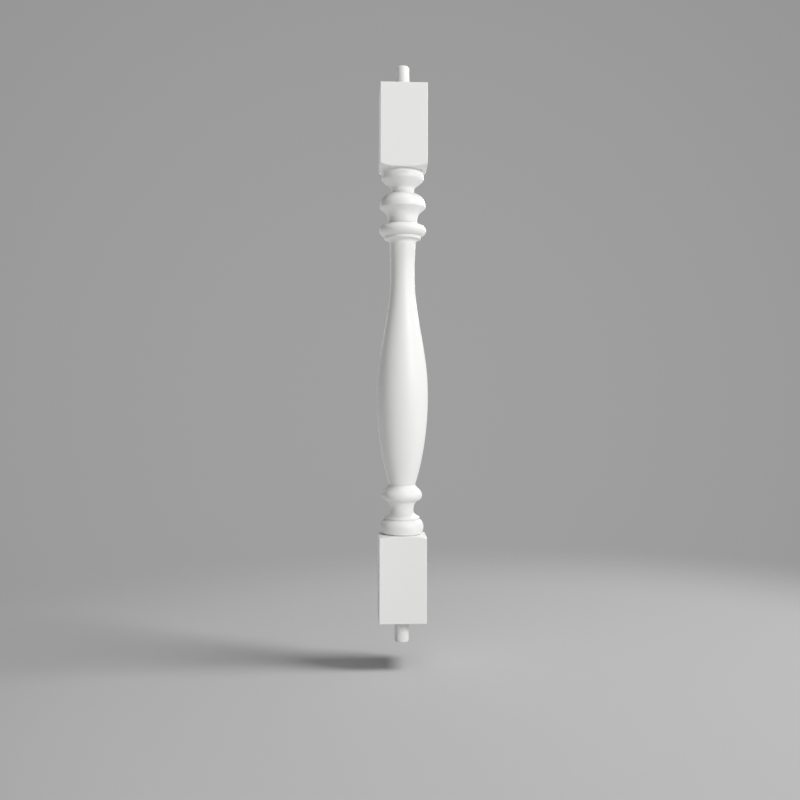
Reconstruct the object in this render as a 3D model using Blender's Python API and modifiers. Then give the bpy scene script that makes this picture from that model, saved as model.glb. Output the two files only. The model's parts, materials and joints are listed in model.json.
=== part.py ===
"""Turned baluster with a square block and a round pin at each end, lacquered white.

Units are metres and +Z is up. The origin is the middle of the lower block's underside, the face
that sits on the bottom rail. The faces of the blocks look along X and Y.
"""

import math

import bmesh
import bpy
from mathutils import Matrix

# Heights above the lower block's underside
BLOCKS_LENGTH = 0.7100
LOWER_BLOCK_TOP = 0.1145
UPPER_BLOCK_UNDERSIDE = 0.5996

# Square blocks, whose inner ends are turned to a flat with rounded corners
BLOCK_SIDE = 0.0625
ARRIS_EASE = 0.0010
SHOULDER_FLAT_RADIUS = 0.0290
UPPER_SHOULDER_ROUND = 0.0270
LOWER_SHOULDER_ROUND = 0.0450

# Round pins that stand out of the blocks' outer ends
PIN_LENGTH = 0.0300
UPPER_PIN_RADIUS = 0.0085
LOWER_PIN_RADIUS = 0.0095
PIN_EASE = (0.0016, 0.0026)

# A ring is widest at its radius and height; a swell is the width and height of its rounded edge.
# A lean says how a curve sets off from a ring, and a reach how long it runs straight at a neck.

# Upper ring, close under the upper block, and the neck below it
UPPER_RING_ROOT_RADIUS = 0.0240
UPPER_RING_RADIUS = 0.0283
UPPER_RING_HEIGHT = 0.5882
UPPER_RING_SWELL = (0.0075, 0.0152)
UPPER_RING_LEAN = (0.0038, 0.0056)
UPPER_NECK_RADIUS = 0.0152
UPPER_NECK_TOP = 0.5747
UPPER_NECK_REACH = 0.0044

# Middle ring and the neck below it
MIDDLE_RING_RADIUS = 0.0308
MIDDLE_RING_HEIGHT = 0.5520
MIDDLE_RING_SWELL = (0.0150, 0.0172)
MIDDLE_RING_BAND = 0.0014
MIDDLE_RING_LEAN = (0.0053, 0.0048)
MIDDLE_NECK_RADIUS = 0.0195
MIDDLE_NECK_TOP = 0.5334
MIDDLE_NECK_REACH = 0.0097

# Collar ring with its fillet, and the cove that leads into the vase
COLLAR_RADIUS = 0.0317
COLLAR_HEIGHT = 0.5201
COLLAR_UPPER_SWELL = (0.0136, 0.0090)
COLLAR_LOWER_SWELL = (0.0119, 0.0085)
COLLAR_FILLET_RADIUS = 0.0246
COLLAR_FILLET_BOTTOM = 0.5086
COVE_SIZE = 0.0065

# Vase: slim neck at the top, belly low down, drawn in again to a leaning foot
VASE_TOP_RADIUS = 0.0173
VASE_TOP_REACH = 0.0140
VASE_NECK_RADIUS = 0.0164
VASE_NECK_TOP = 0.4720
VASE_NECK_BOTTOM = 0.4596
VASE_NECK_REACH = 0.0580
BELLY_RADIUS = 0.0344
BELLY_HEIGHT = 0.2999
BELLY_UPPER_REACH = 0.0620
BELLY_LOWER_REACH = 0.0400
VASE_FOOT_RADIUS = 0.0175
VASE_FOOT_HEIGHT = 0.1800
VASE_FOOT_REACH = 0.0400
VASE_FOOT_LEAN = math.radians(17.5)

# Foot ring with its sloping top, and the neck below it that flares to a fillet
FOOT_RING_RADIUS = 0.0269
FOOT_RING_HEIGHT = 0.1658
FOOT_RING_SLOPE = (0.0053, 0.0071)
FOOT_RING_REACH = 0.0064
FOOT_RING_ROOT_RADIUS = 0.0219
FOOT_RING_SWELL = (0.0060, 0.0069)
FOOT_RING_LEAN = (0.0030, 0.0004)
FOOT_NECK_RADIUS = 0.0154
FOOT_NECK_HEIGHT = 0.1467
FOOT_NECK_UPPER_REACH = 0.0065
FOOT_NECK_LOWER_REACH = 0.0055
FOOT_FILLET_RADIUS = 0.0235
FOOT_FILLET_TOP = 0.1369
FOOT_FILLET_BOTTOM = 0.1342
FOOT_FILLET_LEAN = (0.0052, -0.0030)

# Base ring that sits on the lower block
BASE_RING_CREASE_RADIUS = 0.0226
BASE_RING_RADIUS = 0.0289
BASE_RING_HEIGHT = 0.1242
BASE_RING_UPPER_SWELL = (0.0070, 0.0098)
BASE_RING_LOWER_SWELL = (0.0040, 0.0097)
BASE_RING_ROOT_RADIUS = 0.0256

# How far the turned core and the shaping solids run on past a face that they cross
OVERRUN = 0.0030

# Facets: sides round the axis, and steps along each kind of curve
TURN_SIDES = 40
EASE_STEPS = 2
SWELL_STEPS = 6
SMALL_SWELL_STEPS = 4
OGEE_STEPS = 6
VASE_TOP_STEPS = 3
VASE_STEPS = 10
BELLY_STEPS = 8
SHOULDER_STEPS = 5
MERGE_DISTANCE = 0.00001
SMOOTH_ANGLE = math.radians(30)

LACQUER_COLOUR = (0.86, 0.86, 0.85, 1.0)
LACQUER_ROUGHNESS = 0.50


# Curves of the turned outline, each a list of (radius, height) points from the top down
def ellipse_arc(centre, size, start, end, steps):
    """Arc about a centre; size is its half width and half height, angle 0 points outwards."""
    points = []
    for i in range(steps + 1):
        angle = start + (end - start) * i / steps
        points.append((centre[0] + size[0] * math.cos(angle), centre[1] + size[1] * math.sin(angle)))
    return points


def swell_out(inner_radius, ring, size, steps):
    """Upper edge of a ring, from an inner radius out to its widest line."""
    centre_radius = ring[0] - size[0]
    start = math.acos((inner_radius - centre_radius) / size[0])
    return ellipse_arc((centre_radius, ring[1]), size, start, 0.0, steps)


def swell_in(ring, size, inner_radius, steps):
    """Lower edge of a ring, from its widest line in to an inner radius."""
    centre_radius = ring[0] - size[0]
    end = -math.acos((inner_radius - centre_radius) / size[0])
    return ellipse_arc((centre_radius, ring[1]), size, 0.0, end, steps)


def ogee(first, first_pull, last_pull, last, steps):
    """Curve from one point to another, drawn towards two pull points on the way."""
    points = []
    for i in range(steps + 1):
        t = i / steps
        weights = ((1 - t) ** 3, 3 * t * (1 - t) ** 2, 3 * t * t * (1 - t), t ** 3)
        corners = (first, first_pull, last_pull, last)
        radius = sum(weight * corner[0] for weight, corner in zip(weights, corners))
        height = sum(weight * corner[1] for weight, corner in zip(weights, corners))
        points.append((radius, height))
    return points


def above(point, reach, lean=0.0):
    """Pull point over a point of the outline, straight up or leaning outwards."""
    return (point[0] + reach * math.sin(lean), point[1] + reach * math.cos(lean))


def below(point, reach):
    """Pull point straight under a point of the outline."""
    return (point[0], point[1] - reach)


def inwards(point, lean):
    """Pull point in from a point of the outline, and down by the lean's second value."""
    return (point[0] - lean[0], point[1] - lean[1])


# Mouldings, from the top down
def upper_pin():
    top = BLOCKS_LENGTH + PIN_LENGTH
    rim = (UPPER_PIN_RADIUS, top - PIN_EASE[1])
    points = [(0.0, top)]
    points += swell_out(UPPER_PIN_RADIUS - PIN_EASE[0], rim, PIN_EASE, EASE_STEPS)
    points.append((UPPER_PIN_RADIUS, BLOCKS_LENGTH - OVERRUN))
    return points


def upper_ring():
    ring = (UPPER_RING_RADIUS, UPPER_RING_HEIGHT)
    neck = (UPPER_NECK_RADIUS, UPPER_NECK_TOP)
    points = swell_out(UPPER_RING_ROOT_RADIUS, ring, UPPER_RING_SWELL, SWELL_STEPS)
    points += ogee(
        ring, inwards(ring, UPPER_RING_LEAN), above(neck, UPPER_NECK_REACH), neck, OGEE_STEPS
    )[1:]
    return points


def middle_ring():
    ring = (MIDDLE_RING_RADIUS, MIDDLE_RING_HEIGHT)
    low_edge = below(ring, MIDDLE_RING_BAND)
    neck = (MIDDLE_NECK_RADIUS, MIDDLE_NECK_TOP)
    lean = inwards(low_edge, MIDDLE_RING_LEAN)
    points = swell_out(UPPER_NECK_RADIUS, ring, MIDDLE_RING_SWELL, SWELL_STEPS)
    points += ogee(low_edge, lean, above(neck, MIDDLE_NECK_REACH), neck, OGEE_STEPS)
    return points


def collar():
    ring = (COLLAR_RADIUS, COLLAR_HEIGHT)
    points = swell_out(MIDDLE_NECK_RADIUS, ring, COLLAR_UPPER_SWELL, SWELL_STEPS)
    points += swell_in(ring, COLLAR_LOWER_SWELL, COLLAR_FILLET_RADIUS, SMALL_SWELL_STEPS)[1:]
    points.append((COLLAR_FILLET_RADIUS, COLLAR_FILLET_BOTTOM))
    cove_centre = (VASE_TOP_RADIUS + COVE_SIZE, COLLAR_FILLET_BOTTOM - COVE_SIZE)
    cove_size = (COVE_SIZE, COVE_SIZE)
    points += ellipse_arc(cove_centre, cove_size, math.pi / 2, math.pi, SMALL_SWELL_STEPS)
    return points


def vase():
    top = (VASE_TOP_RADIUS, COLLAR_FILLET_BOTTOM - COVE_SIZE)
    neck_top = (VASE_NECK_RADIUS, VASE_NECK_TOP)
    neck_bottom = (VASE_NECK_RADIUS, VASE_NECK_BOTTOM)
    belly = (BELLY_RADIUS, BELLY_HEIGHT)
    foot = (VASE_FOOT_RADIUS, VASE_FOOT_HEIGHT)
    points = ogee(
        top, below(top, VASE_TOP_REACH), above(neck_top, VASE_TOP_REACH), neck_top, VASE_TOP_STEPS
    )[1:]
    points += ogee(
        neck_bottom, below(neck_bottom, VASE_NECK_REACH), above(belly, BELLY_UPPER_REACH), belly, VASE_STEPS
    )
    above_foot = above(foot, VASE_FOOT_REACH, VASE_FOOT_LEAN)
    points += ogee(belly, below(belly, BELLY_LOWER_REACH), above_foot, foot, BELLY_STEPS)[1:]
    return points


def foot_ring():
    foot = (VASE_FOOT_RADIUS, VASE_FOOT_HEIGHT)
    ring = (FOOT_RING_RADIUS, FOOT_RING_HEIGHT)
    on_slope = (foot[0] + FOOT_RING_SLOPE[0], foot[1] - FOOT_RING_SLOPE[1])
    points = ogee(foot, on_slope, above(ring, FOOT_RING_REACH), ring, OGEE_STEPS)[1:]
    points += swell_in(ring, FOOT_RING_SWELL, FOOT_RING_ROOT_RADIUS, SMALL_SWELL_STEPS)[1:]
    root = points[-1]
    neck = (FOOT_NECK_RADIUS, FOOT_NECK_HEIGHT)
    above_neck = above(neck, FOOT_NECK_UPPER_REACH)
    points += ogee(root, inwards(root, FOOT_RING_LEAN), above_neck, neck, OGEE_STEPS)[1:]
    return points


def foot_fillet():
    neck = (FOOT_NECK_RADIUS, FOOT_NECK_HEIGHT)
    fillet = (FOOT_FILLET_RADIUS, FOOT_FILLET_TOP)
    below_neck = below(neck, FOOT_NECK_LOWER_REACH)
    points = ogee(neck, below_neck, inwards(fillet, FOOT_FILLET_LEAN), fillet, OGEE_STEPS)[1:]
    points.append((FOOT_FILLET_RADIUS, FOOT_FILLET_BOTTOM))
    return points


def base_ring():
    ring = (BASE_RING_RADIUS, BASE_RING_HEIGHT)
    points = swell_out(BASE_RING_CREASE_RADIUS, ring, BASE_RING_UPPER_SWELL, SMALL_SWELL_STEPS)
    points += swell_in(ring, BASE_RING_LOWER_SWELL, BASE_RING_ROOT_RADIUS, SMALL_SWELL_STEPS)[1:]
    points.append((BASE_RING_CREASE_RADIUS, LOWER_BLOCK_TOP - OVERRUN))
    return points


def lower_pin():
    bottom = -PIN_LENGTH
    rim = (LOWER_PIN_RADIUS, bottom + PIN_EASE[1])
    points = [(LOWER_PIN_RADIUS, OVERRUN)]
    points += swell_in(rim, PIN_EASE, LOWER_PIN_RADIUS - PIN_EASE[0], EASE_STEPS)
    points.append((0.0, bottom))
    return points


def turned_outline():
    """The whole turned core, pins included; it runs on inside the blocks."""
    mouldings = (
        upper_pin, upper_ring, middle_ring, collar, vase, foot_ring, foot_fillet, base_ring, lower_pin
    )
    return [point for moulding in mouldings for point in moulding()]


def shoulder_outline(flat_height, rounding, end_height):
    """Inner end of a block, flat near the core and rounded away towards the corners."""
    towards_end = math.copysign(1.0, end_height - flat_height)
    widest = BLOCK_SIDE / math.sqrt(2) + OVERRUN
    turn = math.asin((widest - SHOULDER_FLAT_RADIUS) / rounding)
    centre = (SHOULDER_FLAT_RADIUS, flat_height + towards_end * rounding)
    size = (rounding, towards_end * rounding)
    flat = -math.pi / 2
    points = [(0.0, flat_height)]
    points += ellipse_arc(centre, size, flat, flat + turn, SHOULDER_STEPS)
    points.append((widest, end_height + towards_end * OVERRUN))
    points.append((0.0, end_height + towards_end * OVERRUN))
    if towards_end > 0:
        points.reverse()
    return points


# Solids
def turned(name, outline, collection):
    """Turn an outline about the Z axis; the outline runs from the top down."""
    mesh = bpy.data.meshes.new(name)
    vertices = [(radius, 0.0, height) for radius, height in outline]
    edges = [(i, i + 1) for i in range(len(vertices) - 1)]
    mesh.from_pydata(vertices, edges, [])
    solid = bpy.data.objects.new(name, mesh)
    collection.objects.link(solid)
    turning = solid.modifiers.new("Turning", "SCREW")
    turning.axis = "Z"
    turning.angle = math.tau
    turning.steps = TURN_SIDES
    turning.render_steps = TURN_SIDES
    turning.use_merge_vertices = True
    turning.merge_threshold = MERGE_DISTANCE
    return solid


def square_bar(name, low, high, collection):
    """Square bar about the axis between two heights, with its arrises eased."""
    size = Matrix.Diagonal((BLOCK_SIDE, BLOCK_SIDE, high - low, 1.0))
    place = Matrix.Translation((0.0, 0.0, (low + high) / 2))
    cage = bmesh.new()
    bmesh.ops.create_cube(cage, size=1.0, matrix=place @ size)
    mesh = bpy.data.meshes.new(name)
    cage.to_mesh(mesh)
    cage.free()
    bar = bpy.data.objects.new(name, mesh)
    collection.objects.link(bar)
    easing = bar.modifiers.new("Eased arrises", "BEVEL")
    easing.width = ARRIS_EASE
    easing.segments = EASE_STEPS
    return bar


def combine(solid, other, operation):
    boolean = solid.modifiers.new(operation.title() + " " + other.name, "BOOLEAN")
    boolean.operation = operation
    boolean.solver = "EXACT"
    boolean.object = other


def block(name, flat_height, rounding, end_height, collection):
    """One square block: a bar from its turned shoulder to its outer end."""
    past_shoulder = flat_height - math.copysign(OVERRUN, end_height - flat_height)
    low, high = sorted((past_shoulder, end_height))
    bar = square_bar(name, low, high, collection)
    outline = shoulder_outline(flat_height, rounding, end_height)
    combine(bar, turned(name + "_shoulder", outline, collection), "INTERSECT")
    return bar


def lacquer():
    material = bpy.data.materials.new("white_lacquer")
    material.use_nodes = True
    shader = material.node_tree.nodes["Principled BSDF"]
    shader.inputs["Base Color"].default_value = LACQUER_COLOUR
    shader.inputs["Roughness"].default_value = LACQUER_ROUGHNESS
    shader.inputs["Metallic"].default_value = 0.0
    return material


def as_plain_mesh(name, solid, collection):
    """The finished shape as one object, shaded smooth between its crisp edges."""
    bpy.context.view_layer.update()
    shaped = solid.evaluated_get(bpy.context.evaluated_depsgraph_get())
    mesh = bpy.data.meshes.new_from_object(shaped)
    mesh.name = name
    mesh.shade_smooth()
    mesh.set_sharp_from_angle(angle=SMOOTH_ANGLE)
    piece = bpy.data.objects.new(name, mesh)
    collection.objects.link(piece)
    return piece


def new_collection(name):
    collection = bpy.data.collections.new(name)
    bpy.context.scene.collection.children.link(collection)
    return collection


def build_baluster():
    shaping = new_collection("shaping_solids")
    core = turned("turned_core", turned_outline(), shaping)
    upper = block("upper_block", UPPER_BLOCK_UNDERSIDE, UPPER_SHOULDER_ROUND, BLOCKS_LENGTH, shaping)
    lower = block("lower_block", LOWER_BLOCK_TOP, LOWER_SHOULDER_ROUND, 0.0, shaping)
    combine(core, upper, "UNION")
    combine(core, lower, "UNION")
    baluster = as_plain_mesh("baluster", core, new_collection("baluster"))
    baluster.data.materials.clear()
    baluster.data.materials.append(lacquer())
    for guide in shaping.objects:
        guide.hide_render = True
        guide.display_type = "WIRE"


for old_object in list(bpy.data.objects):
    bpy.data.objects.remove(old_object, do_unlink=True)
build_baluster()
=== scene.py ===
"""White lacquered baluster in a plain grey studio: square blocks, turned rings, vase shaft, pins.

Units are metres and +Z is up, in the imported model's frame: the origin is the middle of the lower
block's underside. The fine surface repeats the sizes of the solid that it stands for.
"""

import json
import math

import bpy
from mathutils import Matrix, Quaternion, Vector


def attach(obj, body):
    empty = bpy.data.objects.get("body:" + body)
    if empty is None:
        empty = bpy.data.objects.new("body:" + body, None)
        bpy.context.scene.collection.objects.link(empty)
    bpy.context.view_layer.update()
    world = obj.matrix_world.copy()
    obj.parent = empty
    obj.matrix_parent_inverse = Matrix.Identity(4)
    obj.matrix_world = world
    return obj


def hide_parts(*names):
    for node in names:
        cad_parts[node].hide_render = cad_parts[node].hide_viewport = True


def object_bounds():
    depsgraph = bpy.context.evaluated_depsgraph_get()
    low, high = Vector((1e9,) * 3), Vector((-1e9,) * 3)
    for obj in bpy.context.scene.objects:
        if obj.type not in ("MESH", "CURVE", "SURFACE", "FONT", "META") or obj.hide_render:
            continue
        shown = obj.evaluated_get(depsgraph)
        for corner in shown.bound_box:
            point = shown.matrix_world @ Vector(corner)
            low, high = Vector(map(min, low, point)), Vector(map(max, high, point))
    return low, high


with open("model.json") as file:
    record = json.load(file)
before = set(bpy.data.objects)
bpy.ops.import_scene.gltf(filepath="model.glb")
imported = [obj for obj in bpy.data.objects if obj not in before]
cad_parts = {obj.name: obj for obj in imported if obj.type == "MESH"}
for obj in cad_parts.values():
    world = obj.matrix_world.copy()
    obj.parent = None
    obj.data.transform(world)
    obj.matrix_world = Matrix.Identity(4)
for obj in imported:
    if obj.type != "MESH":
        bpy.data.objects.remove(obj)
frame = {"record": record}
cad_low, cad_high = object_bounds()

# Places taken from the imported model
MOUNTS = {mount["name"]: Vector(mount["pos_m"]) for mount in frame["record"]["mounts"]}
LOWER_END = MOUNTS["bottom_rail_seat"].z
UPPER_END = MOUNTS["handrail_seat"].z
UPPER_PIN_END = cad_high.z
LOWER_PIN_END = cad_low.z
BELLY_RADIUS = cad_high.x

# Square blocks, whose inner ends are turned to a flat with rounded corners
BLOCK_SIDE = 0.0625
LOWER_BLOCK_TOP = 0.1145
UPPER_BLOCK_UNDERSIDE = 0.5996
SHOULDER_FLAT_RADIUS = 0.0290
UPPER_SHOULDER_ROUND = 0.0270
LOWER_SHOULDER_ROUND = 0.0450
ARRIS_RADIUS = 0.0009
BLOCK_EDGE_EASE = 0.0008

# Round pins
UPPER_PIN_RADIUS = 0.0085
LOWER_PIN_RADIUS = 0.0095
PIN_EASE = (0.0016, 0.0026)
PIN_ROOT_FILLET = 0.0006

# A ring is widest at its radius and height; a swell is the width and height of its rounded edge.
# A lean says how a curve sets off from a ring, and a reach how long it runs straight at a neck.

# Upper ring, close under the upper block, and the neck below it
UPPER_RING_RADIUS = 0.0283
UPPER_RING_HEIGHT = 0.5882
UPPER_RING_SWELL = (0.0075, 0.0152)
UPPER_RING_LEAN = (0.0038, 0.0056)
UPPER_NECK_RADIUS = 0.0152
UPPER_NECK_TOP = 0.5747
UPPER_NECK_REACH = 0.0044

# Middle ring and the neck below it
MIDDLE_RING_RADIUS = 0.0308
MIDDLE_RING_HEIGHT = 0.5520
MIDDLE_RING_SWELL = (0.0150, 0.0172)
MIDDLE_RING_BAND = 0.0014
MIDDLE_RING_LEAN = (0.0053, 0.0048)
MIDDLE_NECK_RADIUS = 0.0195
MIDDLE_NECK_TOP = 0.5334
MIDDLE_NECK_REACH = 0.0097

# Collar ring with its fillet, and the cove that leads into the vase
COLLAR_RADIUS = 0.0317
COLLAR_HEIGHT = 0.5201
COLLAR_UPPER_SWELL = (0.0136, 0.0090)
COLLAR_LOWER_SWELL = (0.0119, 0.0085)
COLLAR_FILLET_RADIUS = 0.0246
COLLAR_FILLET_BOTTOM = 0.5086
COVE_SIZE = 0.0065

# Vase: slim neck at the top, belly low down, drawn in again to a leaning foot
VASE_TOP_RADIUS = 0.0173
VASE_TOP_REACH = 0.0140
VASE_NECK_RADIUS = 0.0164
VASE_NECK_TOP = 0.4720
VASE_NECK_BOTTOM = 0.4596
VASE_NECK_REACH = 0.0580
BELLY_HEIGHT = 0.2999
BELLY_UPPER_REACH = 0.0620
BELLY_LOWER_REACH = 0.0400
VASE_FOOT_RADIUS = 0.0175
VASE_FOOT_HEIGHT = 0.1800
VASE_FOOT_REACH = 0.0400
VASE_FOOT_LEAN = math.radians(17.5)

# Foot ring with its sloping top, and the neck below it that flares to a fillet
FOOT_RING_RADIUS = 0.0269
FOOT_RING_HEIGHT = 0.1658
FOOT_RING_SLOPE = (0.0053, 0.0071)
FOOT_RING_REACH = 0.0064
FOOT_RING_ROOT_RADIUS = 0.0219
FOOT_RING_SWELL = (0.0060, 0.0069)
FOOT_RING_LEAN = (0.0030, 0.0004)
FOOT_NECK_RADIUS = 0.0154
FOOT_NECK_HEIGHT = 0.1467
FOOT_NECK_UPPER_REACH = 0.0065
FOOT_NECK_LOWER_REACH = 0.0055
FOOT_FILLET_RADIUS = 0.0235
FOOT_FILLET_TOP = 0.1369
FOOT_FILLET_BOTTOM = 0.1342
FOOT_FILLET_LEAN = (0.0052, -0.0030)

# Base ring that sits on the lower block
BASE_RING_CREASE_RADIUS = 0.0226
BASE_RING_RADIUS = 0.0289
BASE_RING_HEIGHT = 0.1242
BASE_RING_UPPER_SWELL = (0.0070, 0.0098)
BASE_RING_LOWER_SWELL = (0.0040, 0.0097)

# How far a corner of the turned outline is cut back on each side before it is rounded
CRISP = 0.0005
SOFT = 0.0009
CREASE = 0.0006
CREASE_REACH = 0.0030

# Fineness of the surface
COLUMNS = 192
CORNERS = 4.0
CORNER_GATHER = 0.92
POINT_SPACING = 0.0017
FEWEST_STEPS = 5
EDGE_STEPS = 5
SHOULDER_STEPS = 14
END_STEPS = 5
SUPPORT_WIDTH = 0.0010
LANDING = 0.0020
MERGE_DISTANCE = 0.000001


# Curves of the turned outline, from the top down
def steps_along(length):
    return max(FEWEST_STEPS, math.ceil(length / POINT_SPACING))


def ellipse_arc(centre, size, start, end):
    """Arc about a centre; size is its half width and half height, angle 0 points outwards."""
    steps = steps_along(abs(end - start) * max(size))
    points = []
    for i in range(steps + 1):
        angle = start + (end - start) * i / steps
        radius = centre[0] + size[0] * math.cos(angle)
        height = centre[1] + size[1] * math.sin(angle)
        points.append(Vector((radius, height)))
    return points


def swell_out(inner_radius, ring, size):
    """Upper edge of a ring, from an inner radius out to its widest line."""
    centre_radius = ring[0] - size[0]
    start = math.acos((inner_radius - centre_radius) / size[0])
    return ellipse_arc((centre_radius, ring[1]), size, start, 0.0)


def swell_in(ring, size, inner_radius):
    """Lower edge of a ring, from its widest line in to an inner radius."""
    centre_radius = ring[0] - size[0]
    end = -math.acos((inner_radius - centre_radius) / size[0])
    return ellipse_arc((centre_radius, ring[1]), size, 0.0, end)


def ogee(first, first_pull, last_pull, last):
    """Curve from one point to another, drawn towards two pull points on the way."""
    corners = [Vector(point) for point in (first, first_pull, last_pull, last)]
    steps = steps_along((corners[3] - corners[0]).length)
    points = []
    for i in range(steps + 1):
        t = i / steps
        weights = ((1 - t) ** 3, 3 * t * (1 - t) ** 2, 3 * t * t * (1 - t), t ** 3)
        pulled = (weight * corner for weight, corner in zip(weights, corners))
        points.append(sum(pulled, Vector((0.0, 0.0))))
    return points


def line(first, last):
    return [Vector(first), Vector(last)]


def above(point, reach, lean=0.0):
    """Pull point over a point of the outline, straight up or leaning outwards."""
    return (point[0] + reach * math.sin(lean), point[1] + reach * math.cos(lean))


def below(point, reach):
    """Pull point straight under a point of the outline."""
    return (point[0], point[1] - reach)


def inwards(point, lean):
    """Pull point in from a point of the outline, and down by the lean's second value."""
    return (point[0] - lean[0], point[1] - lean[1])


def ring_root(ring, size, height):
    """Radius of a ring's rounded edge where a flat face at that height cuts it."""
    rise = (height - ring[1]) / size[1]
    return ring[0] - size[0] + size[0] * math.sqrt(1 - rise * rise)


def upper_ring_root():
    ring = (UPPER_RING_RADIUS, UPPER_RING_HEIGHT)
    return ring_root(ring, UPPER_RING_SWELL, UPPER_BLOCK_UNDERSIDE)


def base_ring_root():
    ring = (BASE_RING_RADIUS, BASE_RING_HEIGHT)
    return ring_root(ring, BASE_RING_LOWER_SWELL, LOWER_BLOCK_TOP)


# Mouldings, each a list of (stroke, rounding of the corner before it)
def upper_pin():
    rim = (UPPER_PIN_RADIUS, UPPER_PIN_END - PIN_EASE[1])
    inner = UPPER_PIN_RADIUS - PIN_EASE[0]
    root = (UPPER_PIN_RADIUS, UPPER_END)
    return [
        (line((0.0, UPPER_PIN_END), (inner, UPPER_PIN_END)), 0.0),
        (swell_out(inner, rim, PIN_EASE), 0.0),
        (line(rim, root), 0.0),
        (line(root, (UPPER_PIN_RADIUS + LANDING, UPPER_END)), PIN_ROOT_FILLET),
    ]


def upper_ring():
    ring = (UPPER_RING_RADIUS, UPPER_RING_HEIGHT)
    neck = (UPPER_NECK_RADIUS, UPPER_NECK_TOP)
    root = upper_ring_root()
    return [
        (line((root + LANDING, UPPER_BLOCK_UNDERSIDE), (root, UPPER_BLOCK_UNDERSIDE)), 0.0),
        (swell_out(root, ring, UPPER_RING_SWELL), CREASE),
        (ogee(ring, inwards(ring, UPPER_RING_LEAN), above(neck, UPPER_NECK_REACH), neck), SOFT),
    ]


def middle_ring():
    ring = (MIDDLE_RING_RADIUS, MIDDLE_RING_HEIGHT)
    neck = (MIDDLE_NECK_RADIUS, MIDDLE_NECK_TOP)
    low_edge = below(ring, MIDDLE_RING_BAND)
    edge = swell_out(UPPER_NECK_RADIUS, ring, MIDDLE_RING_SWELL)
    in_from_edge = inwards(low_edge, MIDDLE_RING_LEAN)
    above_neck = above(neck, MIDDLE_NECK_REACH)
    return [
        (line((UPPER_NECK_RADIUS, UPPER_NECK_TOP), edge[0]), 0.0),
        (edge, CREASE),
        (line(ring, low_edge), 0.0),
        (ogee(low_edge, in_from_edge, above_neck, neck), SOFT),
    ]


def collar():
    ring = (COLLAR_RADIUS, COLLAR_HEIGHT)
    upper_edge = swell_out(MIDDLE_NECK_RADIUS, ring, COLLAR_UPPER_SWELL)
    lower_edge = swell_in(ring, COLLAR_LOWER_SWELL, COLLAR_FILLET_RADIUS)
    fillet_bottom = (COLLAR_FILLET_RADIUS, COLLAR_FILLET_BOTTOM)
    cove_centre = (VASE_TOP_RADIUS + COVE_SIZE, COLLAR_FILLET_BOTTOM - COVE_SIZE)
    cove = ellipse_arc(cove_centre, (COVE_SIZE, COVE_SIZE), math.pi / 2, math.pi)
    return [
        (line((MIDDLE_NECK_RADIUS, MIDDLE_NECK_TOP), upper_edge[0]), 0.0),
        (upper_edge, CREASE),
        (lower_edge, 0.0),
        (line(lower_edge[-1], fillet_bottom), CREASE),
        (line(fillet_bottom, cove[0]), CRISP),
        (cove, 0.0),
    ]


def vase():
    top = (VASE_TOP_RADIUS, COLLAR_FILLET_BOTTOM - COVE_SIZE)
    neck_top = (VASE_NECK_RADIUS, VASE_NECK_TOP)
    neck_bottom = (VASE_NECK_RADIUS, VASE_NECK_BOTTOM)
    belly = (BELLY_RADIUS, BELLY_HEIGHT)
    foot = (VASE_FOOT_RADIUS, VASE_FOOT_HEIGHT)
    below_neck = below(neck_bottom, VASE_NECK_REACH)
    above_belly = above(belly, BELLY_UPPER_REACH)
    below_belly = below(belly, BELLY_LOWER_REACH)
    above_foot = above(foot, VASE_FOOT_REACH, VASE_FOOT_LEAN)
    return [
        (ogee(top, below(top, VASE_TOP_REACH), above(neck_top, VASE_TOP_REACH), neck_top), 0.0),
        (ogee(neck_bottom, below_neck, above_belly, belly), 0.0),
        (ogee(belly, below_belly, above_foot, foot), 0.0),
    ]


def foot_ring():
    foot = (VASE_FOOT_RADIUS, VASE_FOOT_HEIGHT)
    ring = (FOOT_RING_RADIUS, FOOT_RING_HEIGHT)
    on_slope = (foot[0] + FOOT_RING_SLOPE[0], foot[1] - FOOT_RING_SLOPE[1])
    lower_edge = swell_in(ring, FOOT_RING_SWELL, FOOT_RING_ROOT_RADIUS)
    root = lower_edge[-1]
    neck = (FOOT_NECK_RADIUS, FOOT_NECK_HEIGHT)
    above_neck = above(neck, FOOT_NECK_UPPER_REACH)
    return [
        (ogee(foot, on_slope, above(ring, FOOT_RING_REACH), ring), CREASE),
        (lower_edge, 0.0),
        (ogee(root, inwards(root, FOOT_RING_LEAN), above_neck, neck), CRISP),
    ]


def foot_fillet():
    neck = (FOOT_NECK_RADIUS, FOOT_NECK_HEIGHT)
    fillet = (FOOT_FILLET_RADIUS, FOOT_FILLET_TOP)
    below_neck = below(neck, FOOT_NECK_LOWER_REACH)
    return [
        (ogee(neck, below_neck, inwards(fillet, FOOT_FILLET_LEAN), fillet), 0.0),
        (line(fillet, (FOOT_FILLET_RADIUS, FOOT_FILLET_BOTTOM)), CRISP),
    ]


def base_ring():
    ring = (BASE_RING_RADIUS, BASE_RING_HEIGHT)
    root = base_ring_root()
    upper_edge = swell_out(BASE_RING_CREASE_RADIUS, ring, BASE_RING_UPPER_SWELL)
    return [
        (line((FOOT_FILLET_RADIUS, FOOT_FILLET_BOTTOM), upper_edge[0]), CRISP),
        (upper_edge, CREASE),
        (swell_in(ring, BASE_RING_LOWER_SWELL, root), 0.0),
        (line((root, LOWER_BLOCK_TOP), (root + LANDING, LOWER_BLOCK_TOP)), CREASE),
    ]


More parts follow.
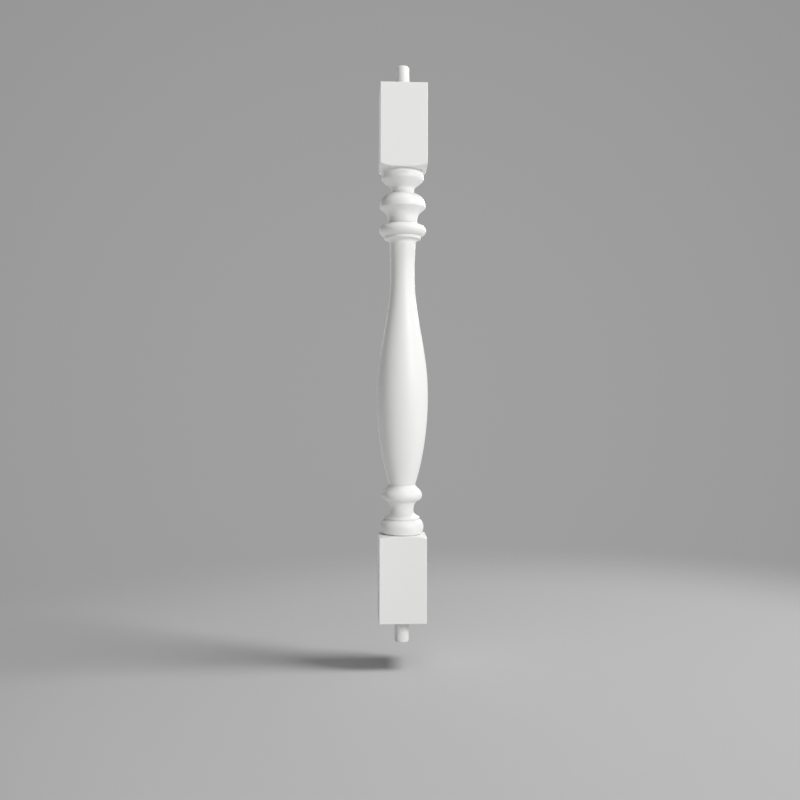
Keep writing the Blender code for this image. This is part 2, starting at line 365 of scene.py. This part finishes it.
def lower_pin():
    rim = (LOWER_PIN_RADIUS, LOWER_PIN_END + PIN_EASE[1])
    inner = LOWER_PIN_RADIUS - PIN_EASE[0]
    root = (LOWER_PIN_RADIUS, LOWER_END)
    return [
        (line((LOWER_PIN_RADIUS + LANDING, LOWER_END), root), 0.0),
        (line(root, rim), PIN_ROOT_FILLET),
        (swell_in(rim, PIN_EASE, inner), 0.0),
        (line((inner, LOWER_PIN_END), (0.0, LOWER_PIN_END)), 0.0),
    ]


def cut_back(points, length):
    """The points of a stroke without its last bit of that length."""
    points = list(points)
    while len(points) > 1:
        last = points.pop()
        step = (last - points[-1]).length
        if step > length:
            points.append(points[-1].lerp(last, 1 - length / step))
            return points
        length -= step
    return points


def joined(strokes):
    """One outline through all strokes, with each corner between two of them rounded."""
    outline = list(strokes[0][0])
    for stroke, rounding in strokes[1:]:
        if rounding:
            corner = stroke[0]
            outline = cut_back(outline, rounding)
            stroke = cut_back(stroke[::-1], rounding)[::-1]
            start = outline[-1]
            end = stroke[0]
            for i in range(1, EDGE_STEPS):
                t = i / EDGE_STEPS
                outline.append(start.lerp(corner, t).lerp(corner.lerp(end, t), t))
        elif (stroke[0] - outline[-1]).length < MERGE_DISTANCE:
            stroke = stroke[1:]
        outline += stroke
    return outline


# Rows of the surface. A row's share is 0 where the work is turned and 1 where it is square; out
# runs from 0 to 1 round the edge of a square end, and rounding is the shoulder's at that row.
def turned_rows(mouldings):
    strokes = [stroke for moulding in mouldings for stroke in moulding()]
    creases = [stroke[0] for stroke, rounding in strokes if rounding == CREASE]
    rows = []
    for point in joined(strokes):
        # Nearness to a crease, which the finish uses for painted shade in the colour and for a duller
        # gloss.
        nearest = min([(point - crease).length for crease in creases], default=CREASE_REACH)
        depth = max(0.0, 1 - nearest / CREASE_REACH) ** 2
        rows.append(dict(radius=point.x, height=point.y, share=0.0, crease=depth))
    return rows


def end_rows(pin_radius, height):
    """Flat outer end of a block, from the pin's root out to the square's edge."""
    width = BLOCK_SIDE / 2 - pin_radius - LANDING
    shares = [i / END_STEPS for i in range(1, END_STEPS)]
    shares += [1 - SUPPORT_WIDTH / width, 1.0]
    return [dict(radius=pin_radius + LANDING, height=height, share=share) for share in shares]


def end_edge_rows(height, towards_middle):
    """Eased edge between a block's flat outer end and its sides."""
    rows = []
    for i in range(1, EDGE_STEPS + 1):
        angle = math.pi / 2 * i / EDGE_STEPS
        inset = BLOCK_EDGE_EASE * (1 - math.cos(angle))
        rows.append(dict(height=height + towards_middle * inset, share=1.0, out=math.sin(angle)))
    beyond = height + towards_middle * (BLOCK_EDGE_EASE + SUPPORT_WIDTH)
    rows.append(dict(height=beyond, share=1.0, out=1.0))
    return rows


def shoulder_edge_rows(height, rounding):
    """Eased edge between a block's sides and its turned inner end."""
    towards_end = math.copysign(1.0, rounding)
    support = height + towards_end * (BLOCK_EDGE_EASE + SUPPORT_WIDTH)
    rows = [dict(height=support, share=1.0, out=1.0, rounding=rounding)]
    for i in range(EDGE_STEPS + 1):
        t = i / EDGE_STEPS
        lift = towards_end * BLOCK_EDGE_EASE * (1 - t) ** 2
        rows.append(dict(height=height + lift, share=1.0, out=1 - t * t, rounding=rounding))
    return rows


def shoulder_rows(root_radius, height, rounding):
    """Turned inner end of a block, from the square's edge in to the first ring's root."""
    radius = root_radius + LANDING
    shares = [1 - i / SHOULDER_STEPS for i in range(1, SHOULDER_STEPS)]
    return [dict(radius=radius, height=height, share=share, rounding=rounding) for share in shares]


def surface_rows():
    """All rows of the surface, from the upper pin's end down to the lower pin's."""
    rows = turned_rows([upper_pin])
    rows += end_rows(UPPER_PIN_RADIUS, UPPER_END)
    rows += end_edge_rows(UPPER_END, -1.0)
    rows += shoulder_edge_rows(UPPER_BLOCK_UNDERSIDE, UPPER_SHOULDER_ROUND)
    rows += shoulder_rows(upper_ring_root(), UPPER_BLOCK_UNDERSIDE, UPPER_SHOULDER_ROUND)
    rows += turned_rows([upper_ring, middle_ring, collar, vase, foot_ring, foot_fillet, base_ring])
    rows += shoulder_rows(base_ring_root(), LOWER_BLOCK_TOP, -LOWER_SHOULDER_ROUND)[::-1]
    rows += shoulder_edge_rows(LOWER_BLOCK_TOP, -LOWER_SHOULDER_ROUND)[::-1]
    rows += end_edge_rows(LOWER_END, 1.0)[::-1]
    rows += end_rows(LOWER_PIN_RADIUS, LOWER_END)[::-1]
    rows += turned_rows([lower_pin])
    return rows


def outline_object(rows):
    """Chain of points, one for each row, that carries the rows' values as attributes."""
    mesh = bpy.data.meshes.new("baluster_outline")
    points = [(row.get("radius", 0.0), 0.0, row["height"]) for row in rows]
    mesh.from_pydata(points, [(i, i + 1) for i in range(len(points) - 1)], [])
    for name in ("share", "out", "rounding", "crease"):
        values = mesh.attributes.new(name, "FLOAT", "POINT")
        values.data.foreach_set("value", [row.get(name, 0.0) for row in rows])
    outline = bpy.data.objects.new("lacquered_baluster", mesh)
    bpy.context.scene.collection.objects.link(outline)
    return outline


# Node trees
def feed(tree, socket, value):
    """Gives a socket a value, or links another node's output to it."""
    if isinstance(value, bpy.types.NodeSocket):
        tree.links.new(value, socket)
    else:
        socket.default_value = value


def add_node(tree, kind, inputs=(), **settings):
    """New node; its inputs, in order or by name, take a value or another node's output."""
    node = tree.nodes.new(kind)
    for name, value in settings.items():
        setattr(node, name, value)
    named = inputs.items() if isinstance(inputs, dict) else enumerate(inputs)
    for key, value in named:
        feed(tree, node.inputs[key], value)
    return node


def maths(tree, operation, *values):
    return add_node(tree, "ShaderNodeMath", values, operation=operation).outputs[0]


def squared(tree, value):
    return maths(tree, "POWER", value, 2.0)


def vectors(tree, operation, *values):
    node = add_node(tree, "ShaderNodeVectorMath", values, operation=operation)
    return node.outputs["Value" if operation in ("LENGTH", "DOT_PRODUCT") else "Vector"]


def scaled(tree, vector, factor):
    inputs = {"Vector": vector, "Scale": factor}
    return add_node(tree, "ShaderNodeVectorMath", inputs, operation="SCALE").outputs["Vector"]


def between(tree, share, first, second):
    """Vector that goes from the first to the second as the share goes from 0 to 1."""
    node = add_node(tree, "ShaderNodeMix", data_type="VECTOR")
    for name, source in (("Factor", share), ("A", first), ("B", second)):
        socket = next(s for s in node.inputs if s.name == name and s.enabled)
        tree.links.new(source, socket)
    return next(s for s in node.outputs if s.enabled)


def ramp(tree, value, span, results, **settings):
    """Number that goes through the results while the value goes through the span."""
    inputs = {"Value": value, "From Min": span[0], "From Max": span[1]}
    inputs.update({"To Min": results[0], "To Max": results[1]})
    return add_node(tree, "ShaderNodeMapRange", inputs, **settings).outputs["Result"]


def new_tree(name, kind, inputs, outputs):
    """Node group with named sockets; returns it with its own input node."""
    tree = bpy.data.node_groups.new(name, kind)
    for socket_name, socket_kind in inputs:
        tree.interface.new_socket(socket_name, in_out="INPUT", socket_type=socket_kind)
    for socket_name, socket_kind in outputs:
        tree.interface.new_socket(socket_name, in_out="OUTPUT", socket_type=socket_kind)
    return tree, tree.nodes.new("NodeGroupInput")


def finish_tree(tree, *results):
    output = tree.nodes.new("NodeGroupOutput")
    for result, socket in zip(results, output.inputs):
        tree.links.new(result, socket)
    return tree


def add_group(tree, group, inputs, kind="GeometryNodeGroup"):
    return add_node(tree, kind, inputs, node_tree=group)


def rounded_square():
    """Where a direction meets a square with rounded corners: the corner's middle, and the way out."""
    tree, given = new_tree(
        "rounded square",
        "GeometryNodeTree",
        [
            ("Direction", "NodeSocketVector"),
            ("Side", "NodeSocketFloat"),
            ("Corner Radius", "NodeSocketFloat"),
        ],
        [("Core", "NodeSocketVector"), ("Outward", "NodeSocketVector")],
    )
    direction = given.outputs["Direction"]
    corner = given.outputs["Corner Radius"]
    half = maths(tree, "MULTIPLY", given.outputs["Side"], 0.5)
    flat = maths(tree, "SUBTRACT", half, corner)
    parts = add_node(tree, "ShaderNodeSeparateXYZ", [vectors(tree, "ABSOLUTE", direction)]).outputs
    larger = maths(tree, "MAXIMUM", parts["X"], parts["Y"])
    smaller = maths(tree, "MINIMUM", parts["X"], parts["Y"])
    to_side = maths(tree, "DIVIDE", half, larger)
    across = maths(tree, "MULTIPLY", flat, maths(tree, "SUBTRACT", larger, smaller))
    inside = maths(tree, "SUBTRACT", squared(tree, corner), squared(tree, across))
    along = maths(tree, "MULTIPLY", flat, maths(tree, "ADD", larger, smaller))
    to_corner = maths(tree, "ADD", along, maths(tree, "SQRT", inside))
    beside = maths(tree, "LESS_THAN", maths(tree, "MULTIPLY", to_side, smaller), flat)
    reach = add_node(tree, "ShaderNodeMix", {"Factor": beside, "A": to_corner, "B": to_side})
    point = scaled(tree, direction, reach.outputs["Result"])
    highest = add_node(tree, "ShaderNodeCombineXYZ", [flat, flat, 0.0]).outputs["Vector"]
    lowest = scaled(tree, highest, -1.0)
    core = vectors(tree, "MAXIMUM", vectors(tree, "MINIMUM", point, highest), lowest)
    outward = scaled(tree, vectors(tree, "SUBTRACT", point, core), maths(tree, "DIVIDE", 1.0, corner))
    return finish_tree(tree, core, outward)


def shoulder_drop():
    """How far a turned shoulder falls away from its flat, at a distance from the axis."""
    tree, given = new_tree(
        "shoulder drop",
        "GeometryNodeTree",
        [
            ("Distance", "NodeSocketFloat"),
            ("Flat Radius", "NodeSocketFloat"),
            ("Rounding", "NodeSocketFloat"),
        ],
        [("Drop", "NodeSocketFloat")],
    )
    rounding = given.outputs["Rounding"]
    past_flat = maths(tree, "SUBTRACT", given.outputs["Distance"], given.outputs["Flat Radius"])
    past_flat = maths(tree, "MAXIMUM", past_flat, 0.0)
    squares = maths(tree, "SUBTRACT", squared(tree, rounding), squared(tree, past_flat))
    height = maths(tree, "MULTIPLY", maths(tree, "SIGN", rounding), maths(tree, "SQRT", squares))
    return finish_tree(tree, maths(tree, "SUBTRACT", rounding, height))


def square_and_turn():
    """Tree that carries an outline round the axis, as a turned row, a square one or in between."""
    tree, given = new_tree(
        "square and turn",
        "GeometryNodeTree",
        [
            ("Outline", "NodeSocketGeometry"),
            ("Columns", "NodeSocketInt"),
            ("Corner Gather", "NodeSocketFloat"),
            ("Block Side", "NodeSocketFloat"),
            ("Arris Radius", "NodeSocketFloat"),
            ("Edge Ease", "NodeSocketFloat"),
            ("Shoulder Flat Radius", "NodeSocketFloat"),
            ("Finish", "NodeSocketMaterial"),
        ],
        [("Surface", "NodeSocketGeometry")],
    )
    outline = given.outputs["Outline"]
    size = add_node(tree, "GeometryNodeAttributeDomainSize", [outline], component="MESH")
    row_count = size.outputs["Point Count"]
    columns = given.outputs["Columns"]
    grid = add_node(
        tree,
        "GeometryNodeMeshGrid",
        {"Vertices X": maths(tree, "ADD", columns, 1.0), "Vertices Y": row_count},
    ).outputs["Mesh"]
    index = tree.nodes.new("GeometryNodeInputIndex").outputs["Index"]
    row = maths(tree, "MODULO", index, row_count)
    column = maths(tree, "FLOOR", maths(tree, "DIVIDE", index, row_count))

    def on_row(value, kind="FLOAT"):
        node = tree.nodes.new("GeometryNodeSampleIndex")
        node.data_type = kind
        for socket, source in (("Geometry", outline), ("Value", value), ("Index", row)):
            tree.links.new(source, node.inputs[socket])
        return node.outputs["Value"]

    def row_value(name):
        named = add_node(tree, "GeometryNodeInputNamedAttribute", {"Name": name}, data_type="FLOAT")
        return on_row(named.outputs["Attribute"])

    share = row_value("share")
    out = row_value("out")
    place = on_row(tree.nodes.new("GeometryNodeInputPosition").outputs["Position"], "FLOAT_VECTOR")
    place = add_node(tree, "ShaderNodeSeparateXYZ", [place]).outputs

    # On a square row the columns draw together at its four corners
    angle = maths(tree, "MULTIPLY", maths(tree, "DIVIDE", column, columns), math.tau)
    wave = maths(tree, "SINE", maths(tree, "MULTIPLY", angle, CORNERS))
    gather = maths(tree, "MULTIPLY", given.outputs["Corner Gather"], share)
    gather = maths(tree, "MULTIPLY", gather, 1 / CORNERS)
    angle = maths(tree, "MULTIPLY_ADD", wave, gather, angle)
    direction = add_node(
        tree, "ShaderNodeCombineXYZ", [maths(tree, "COSINE", angle), maths(tree, "SINE", angle), 0.0]
    ).outputs["Vector"]

    square = add_group(
        tree,
        rounded_square(),
        {
            "Direction": direction,
            "Side": given.outputs["Block Side"],
            "Corner Radius": given.outputs["Arris Radius"],
        },
    ).outputs
    ease = given.outputs["Edge Ease"]
    kept = maths(tree, "SUBTRACT", given.outputs["Arris Radius"], ease)
    on_square = vectors(tree, "ADD", square["Core"], scaled(tree, square["Outward"], kept))
    on_circle = scaled(tree, direction, place["X"])
    flat_point = between(tree, share, on_circle, on_square)
    swell = scaled(tree, square["Outward"], maths(tree, "MULTIPLY", ease, out))
    flat_point = vectors(tree, "ADD", flat_point, swell)

    drop = add_group(
        tree,
        shoulder_drop(),
        {
            "Distance": vectors(tree, "LENGTH", flat_point),
            "Flat Radius": given.outputs["Shoulder Flat Radius"],
            "Rounding": row_value("rounding"),
        },
    ).outputs["Drop"]
    height = maths(tree, "ADD", place["Z"], drop)
    lift = add_node(tree, "ShaderNodeCombineXYZ", [0.0, 0.0, height]).outputs["Vector"]
    position = vectors(tree, "ADD", flat_point, lift)
    moved = add_node(
        tree, "GeometryNodeSetPosition", {"Geometry": grid, "Position": position}
    ).outputs["Geometry"]
    marked = moved
    for name, value in (("share", share), ("crease", row_value("crease"))):
        marked = add_node(
            tree, "GeometryNodeStoreNamedAttribute", {"Geometry": marked, "Name": name, "Value": value}
        ).outputs["Geometry"]
    closed = add_node(
        tree, "GeometryNodeMergeByDistance", {"Geometry": marked, "Distance": MERGE_DISTANCE}
    ).outputs["Geometry"]
    outwards = add_node(tree, "GeometryNodeFlipFaces", {"Mesh": closed}).outputs["Mesh"]
    smooth = add_node(tree, "GeometryNodeSetShadeSmooth", {"Geometry": outwards}).outputs["Geometry"]
    real = add_node(tree, "GeometryNodeRealizeInstances", {"Geometry": smooth}).outputs["Geometry"]
    finished = add_node(
        tree, "GeometryNodeSetMaterial", {"Geometry": real, "Material": given.outputs["Finish"]}
    ).outputs["Geometry"]
    return finish_tree(tree, finished)


def set_inputs(modifier, values):
    """Sets a node modifier's inputs, by the identifiers of its named sockets."""
    for item in modifier.node_group.interface.items_tree:
        if item.name in values:
            modifier[item.identifier] = values[item.name]


def as_plain_mesh(piece):
    """Puts the shape that the modifiers make into the piece's own mesh, and removes them."""
    bpy.context.view_layer.update()
    shaped = piece.evaluated_get(bpy.context.evaluated_depsgraph_get())
    mesh = bpy.data.meshes.new_from_object(shaped)
    mesh.name = piece.name
    piece.modifiers.clear()
    old_mesh = piece.data
    piece.data = mesh
    bpy.data.meshes.remove(old_mesh)
    keep_one_material(mesh)


def keep_one_material(mesh):
    """Leaves only the slot that the faces use."""
    finish = mesh.materials[mesh.polygons[0].material_index]
    mesh.polygons.foreach_set("material_index", [0] * len(mesh.polygons))
    mesh.materials.clear()
    mesh.materials.append(finish)


def lacquered_baluster(finish):
    piece = outline_object(surface_rows())
    shaping = piece.modifiers.new("Squared and turned", "NODES")
    shaping.node_group = square_and_turn()
    set_inputs(
        shaping,
        {
            "Columns": COLUMNS,
            "Corner Gather": CORNER_GATHER,
            "Block Side": BLOCK_SIDE,
            "Arris Radius": ARRIS_RADIUS,
            "Edge Ease": BLOCK_EDGE_EASE,
            "Shoulder Flat Radius": SHOULDER_FLAT_RADIUS,
            "Finish": finish,
        },
    )
    as_plain_mesh(piece)
    return piece


# Finish: sprayed satin lacquer on turned wood. Sizes on the surface are in metres, the depths of
# its unevenness in millimetres.
LACQUER_TONE = {
    "Colour": (0.86, 0.86, 0.85, 1.0),
    "Cloud Size": 0.09,
    "Cloud Strength": 0.035,
    # Crease Strength here is painted shade: how much the colour darkens in the creases.
    "Crease Strength": 0.10,
}
LACQUER_GLOSS = {
    "Roughness": 0.46,
    "Patch Size": 0.03,
    "Patch Strength": 0.12,
    "Crease Strength": 0.15,
}
LACQUER_IOR = 1.48
LACQUER_SPECULAR = 0.45
PEEL = {"Size": 0.0022, "Depth": 0.030}
LATHE_MARKS = {"Spacing": 0.0011, "Depth": 0.013}
GRAIN = {"Width": 0.0016, "Depth": 0.022}
MILLIMETRE = 0.001

# How far a pattern is squeezed along each axis, which draws it out round the work or along it
ROUND_THE_WORK = (0.02, 0.02, 1.0)
ALONG_THE_WORK = (1.0, 1.0, 0.03)


def noise(tree, place, size, detail=2.0):
    """Cloudy pattern from -0.5 to 0.5, with lumps about that size."""
    scale = maths(tree, "DIVIDE", 1.0, size)
    cloud = add_node(tree, "ShaderNodeTexNoise", {"Vector": place, "Scale": scale, "Detail": detail})
    return maths(tree, "SUBTRACT", cloud.outputs["Fac"], 0.5)


def orange_peel():
    tree, given = new_tree(
        "orange peel",
        "ShaderNodeTree",
        [("Place", "NodeSocketVector"), ("Size", "NodeSocketFloat"), ("Depth", "NodeSocketFloat")],
        [("Height", "NodeSocketFloat")],
    )
    lumps = noise(tree, given.outputs["Place"], given.outputs["Size"], detail=1.0)
    return finish_tree(tree, maths(tree, "MULTIPLY", lumps, given.outputs["Depth"]))


def turning_marks():
    """Fine rings left by the lathe, on the turned part alone."""
    tree, given = new_tree(
        "turning marks",
        "ShaderNodeTree",
        [
            ("Place", "NodeSocketVector"),
            ("Square Share", "NodeSocketFloat"),
            ("Spacing", "NodeSocketFloat"),
            ("Depth", "NodeSocketFloat"),
        ],
        [("Height", "NodeSocketFloat")],
    )
    along = vectors(tree, "MULTIPLY", given.outputs["Place"], ROUND_THE_WORK)
    rings = noise(tree, along, given.outputs["Spacing"])
    turned = maths(tree, "SUBTRACT", 1.0, given.outputs["Square Share"])
    depth = maths(tree, "MULTIPLY", given.outputs["Depth"], turned)
    return finish_tree(tree, maths(tree, "MULTIPLY", rings, depth))


def grain_under_lacquer():
    """Long soft streaks where the wood's grain still shows through the lacquer."""
    tree, given = new_tree(
        "grain under lacquer",
        "ShaderNodeTree",
        [
            ("Place", "NodeSocketVector"),
            ("Width", "NodeSocketFloat"),
            ("Depth", "NodeSocketFloat"),
        ],
        [("Height", "NodeSocketFloat")],
    )
    along = vectors(tree, "MULTIPLY", given.outputs["Place"], ALONG_THE_WORK)
    streaks = noise(tree, along, given.outputs["Width"])
    return finish_tree(tree, maths(tree, "MULTIPLY", streaks, given.outputs["Depth"]))


def lacquer_tone():
    """Lacquer colour with faint cloudy changes, and painted shade that darkens it a little in the
    creases between rings.
    """
    tree, given = new_tree(
        "lacquer tone",
        "ShaderNodeTree",
        [
            ("Place", "NodeSocketVector"),
            ("Colour", "NodeSocketColor"),
            ("Cloud Size", "NodeSocketFloat"),
            ("Cloud Strength", "NodeSocketFloat"),
            ("Crease", "NodeSocketFloat"),
            ("Crease Strength", "NodeSocketFloat"),
        ],
        [("Colour", "NodeSocketColor")],
    )
    clouds = noise(tree, given.outputs["Place"], given.outputs["Cloud Size"], detail=3.0)
    light = maths(tree, "MULTIPLY_ADD", clouds, given.outputs["Cloud Strength"], 1.0)
    # Painted shade: the colour is darkened where the outline runs into a crease.
    painted_crease_shade = maths(tree, "MULTIPLY", given.outputs["Crease"], given.outputs["Crease Strength"])
    light = maths(tree, "SUBTRACT", light, painted_crease_shade)
    return finish_tree(tree, scaled(tree, given.outputs["Colour"], light))


def lacquer_gloss():
    """Roughness with soft patches, duller in the creases where the spray settles dry."""
    tree, given = new_tree(
        "lacquer gloss",
        "ShaderNodeTree",
        [
            ("Place", "NodeSocketVector"),
            ("Roughness", "NodeSocketFloat"),
            ("Patch Size", "NodeSocketFloat"),
            ("Patch Strength", "NodeSocketFloat"),
            ("Crease", "NodeSocketFloat"),
            ("Crease Strength", "NodeSocketFloat"),
        ],
        [("Roughness", "NodeSocketFloat")],
    )
    patches = noise(tree, given.outputs["Place"], given.outputs["Patch Size"], detail=3.0)
    strength = given.outputs["Patch Strength"]
    rough = maths(tree, "MULTIPLY_ADD", patches, strength, given.outputs["Roughness"])
    dull = maths(tree, "MULTIPLY", given.outputs["Crease"], given.outputs["Crease Strength"])
    return finish_tree(tree, maths(tree, "ADD", rough, dull))


def satin_lacquer():
    material = bpy.data.materials.new("satin_lacquer")
    material.use_nodes = True
    tree = material.node_tree
    shader = tree.nodes["Principled BSDF"]
    place = tree.nodes.new("ShaderNodeTexCoord").outputs["Object"]
    share = add_node(tree, "ShaderNodeAttribute", attribute_name="share").outputs["Fac"]
    crease = add_node(tree, "ShaderNodeAttribute", attribute_name="crease").outputs["Fac"]

    def use(group, inputs):
        return add_group(tree, group, {"Place": place, **inputs}, "ShaderNodeGroup").outputs[0]

    # The crease mask darkens the colour as painted shade, and dulls the gloss.
    colour = use(lacquer_tone(), {"Crease": crease, **LACQUER_TONE})
    rough = use(lacquer_gloss(), {"Crease": crease, **LACQUER_GLOSS})
    peel = use(orange_peel(), PEEL)
    marks = use(turning_marks(), {"Square Share": share, **LATHE_MARKS})
    grain = use(grain_under_lacquer(), GRAIN)
    height = maths(tree, "ADD", maths(tree, "ADD", peel, marks), grain)
    bump = add_node(tree, "ShaderNodeBump", {"Height": height, "Distance": MILLIMETRE, "Strength": 1.0})
    tree.links.new(colour, shader.inputs["Base Color"])
    tree.links.new(rough, shader.inputs["Roughness"])
    tree.links.new(bump.outputs["Normal"], shader.inputs["Normal"])
    shader.inputs["IOR"].default_value = LACQUER_IOR
    shader.inputs["Specular IOR Level"].default_value = LACQUER_SPECULAR
    return material


# Studio
CAMERA_DISTANCE = 1.2400
CAMERA_HEIGHT = 0.2935
CAMERA_TURN = math.radians(3.0)
CAMERA_SIDE_STEP = 0.0029
CAMERA_ROLL = math.radians(0.122)
LENS = 41.58
NEAREST_SEEN = 0.01
FARTHEST_SEEN = 50.0

# Softboxes: angles in degrees, from the front and from level; power in watts
AIM_HEIGHT = 0.35
SOFTBOXES = {
    "key_softbox": dict(turn=42, rise=21, distance=9.0, size=2.5, power=486.0),
    "top_softbox": dict(turn=45, rise=70, distance=6.0, size=2.0, power=135.0),
    "side_softbox": dict(turn=105, rise=25, distance=3.0, size=1.0, power=10.0),
    "low_softbox": dict(turn=-32, rise=-41, distance=0.53, size=0.25, power=0.24),
    "rim_softbox": dict(turn=-150, rise=15, distance=3.0, size=1.0, power=6.0),
    "back_softbox": dict(turn=155, rise=20, distance=3.0, size=1.0, power=24.0),
}
FLOOR_SOFTBOXES = {
    "floor_softbox": dict(turn=77, rise=54, distance=3.5, size=1.3, power=64.0),
    "floor_fill_softbox": dict(turn=25, rise=70, distance=3.5, size=2.5, power=15.0),
}

# Greys of the room, each with the span of the way looked in over which it changes
ROOM_SPAN = (-0.5, 0.9)
ROOM_GREYS = (0.02, 0.27)
BOUNCE_SPAN = (-0.8, 0.8)
BOUNCE_GREYS = (0.65, 0.86)
# The camera sees the wall lighter straight behind the baluster: a painted pool of light.
WALL_WAY = (0.05, 1.0, 0.0)
WALL_SPAN = (0.86, 1.0)
WALL_GREYS = (0.31, 0.35)

# Floor
FLOOR_HEIGHT = -0.062
FLOOR_MIDDLE = (0.18, -0.05)
FLOOR_RADIUS = 1.12
FLOOR_SIDES = 128
FLOOR_FADE_START = 0.52
FLOOR_GREY = 0.80
FLOOR_ROUGHNESS = 0.9
FLOOR_SPECULAR = 0.2


def camera():
    data = bpy.data.cameras.new("camera")
    data.lens = LENS
    data.clip_start = NEAREST_SEEN
    data.clip_end = FARTHEST_SEEN
    viewer = bpy.data.objects.new("camera", data)
    bpy.context.scene.collection.objects.link(viewer)
    ahead = Vector((math.sin(CAMERA_TURN), math.cos(CAMERA_TURN), 0.0))
    right = Vector((math.cos(CAMERA_TURN), -math.sin(CAMERA_TURN), 0.0))
    on_ground = -CAMERA_DISTANCE * ahead - CAMERA_SIDE_STEP * right
    viewer.location = on_ground + Vector((0.0, 0.0, CAMERA_HEIGHT))
    roll = Quaternion((0.0, 0.0, 1.0), CAMERA_ROLL)
    viewer.rotation_mode = "QUATERNION"
    viewer.rotation_quaternion = ahead.to_track_quat("-Z", "Y") @ roll
    bpy.context.scene.camera = viewer


def floor_material():
    """Plain pale floor that fades out all round the baluster, where the room's grey takes over."""
    material = bpy.data.materials.new("studio_floor")
    material.use_nodes = True
    tree = material.node_tree
    shader = tree.nodes["Principled BSDF"]
    shader.inputs["Base Color"].default_value = (FLOOR_GREY, FLOOR_GREY, FLOOR_GREY, 1.0)
    shader.inputs["Roughness"].default_value = FLOOR_ROUGHNESS
    shader.inputs["Specular IOR Level"].default_value = FLOOR_SPECULAR
    place = tree.nodes.new("ShaderNodeTexCoord").outputs["Object"]
    from_middle = vectors(tree, "LENGTH", place)
    fading = (FLOOR_FADE_START, FLOOR_RADIUS)
    alpha = ramp(tree, from_middle, fading, (1.0, 0.0), interpolation_type="SMOOTHSTEP")
    tree.links.new(alpha, shader.inputs["Alpha"])
    return material


def floor():
    bpy.ops.mesh.primitive_circle_add(vertices=FLOOR_SIDES, radius=FLOOR_RADIUS, fill_type="NGON")
    disc = bpy.context.object
    disc.name = "studio_floor"
    disc.location = (*FLOOR_MIDDLE, FLOOR_HEIGHT)
    disc.data.materials.append(floor_material())
    return disc


def softbox(name, lit, turn, rise, distance, size, power):
    """Round soft light on one thing alone; turn is its angle from the front."""
    data = bpy.data.lights.new(name, "AREA")
    data.shape = "DISK"
    data.size = size
    data.energy = power
    lamp = bpy.data.objects.new(name, data)
    bpy.context.scene.collection.objects.link(lamp)
    lamp.visible_camera = False
    turn = math.radians(turn)
    rise = math.radians(rise)
    level = math.cos(rise)
    back = Vector((math.sin(turn) * level, -math.cos(turn) * level, math.sin(rise)))
    lamp.location = Vector((0.0, 0.0, AIM_HEIGHT)) + back * distance
    lamp.rotation_mode = "QUATERNION"
    lamp.rotation_quaternion = back.to_track_quat("Z", "Y")
    lit_things = bpy.data.collections.new("lit by " + name)
    lit_things.objects.link(lit)
    lamp.light_linking.receiver_collection = lit_things


def surroundings():
    """Dim room over a pale floor, whose wall the camera sees a little lighter behind the baluster, as a
    painted pool of light.
    """
    world = bpy.data.worlds.new("grey_room")
    world.use_nodes = True
    bpy.context.scene.world = world
    tree = world.node_tree
    way = tree.nodes.new("ShaderNodeTexCoord").outputs["Generated"]
    parts = add_node(tree, "ShaderNodeSeparateXYZ", [way]).outputs
    sides = ramp(tree, parts["Y"], ROOM_SPAN, ROOM_GREYS, interpolation_type="SMOOTHSTEP")
    bounce = ramp(tree, parts["X"], BOUNCE_SPAN, BOUNCE_GREYS)
    down = maths(tree, "LESS_THAN", parts["Z"], 0.0)
    around = maths(tree, "MULTIPLY_ADD", down, maths(tree, "SUBTRACT", bounce, sides), sides)
    room = add_node(tree, "ShaderNodeBackground", {"Color": around})
    # Painted pool of light on the wall, seen by the camera alone.
    ahead = vectors(tree, "DOT_PRODUCT", way, WALL_WAY)
    grey = ramp(tree, ahead, WALL_SPAN, WALL_GREYS)
    wall = add_node(tree, "ShaderNodeBackground", {"Color": grey})
    seen = tree.nodes.new("ShaderNodeLightPath").outputs["Is Camera Ray"]
    shades = [seen, room.outputs["Background"], wall.outputs["Background"]]
    mixed = add_node(tree, "ShaderNodeMixShader", shades)
    tree.links.new(mixed.outputs["Shader"], tree.nodes["World Output"].inputs["Surface"])
    bpy.context.scene.view_settings.view_transform = "Standard"


camera()
surroundings()
baluster = lacquered_baluster(satin_lacquer())
for name, settings in SOFTBOXES.items():
    softbox(name, baluster, **settings)
pale_floor = floor()
for name, settings in FLOOR_SOFTBOXES.items():
    softbox(name, pale_floor, **settings)
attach(baluster, "root")
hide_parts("baluster")
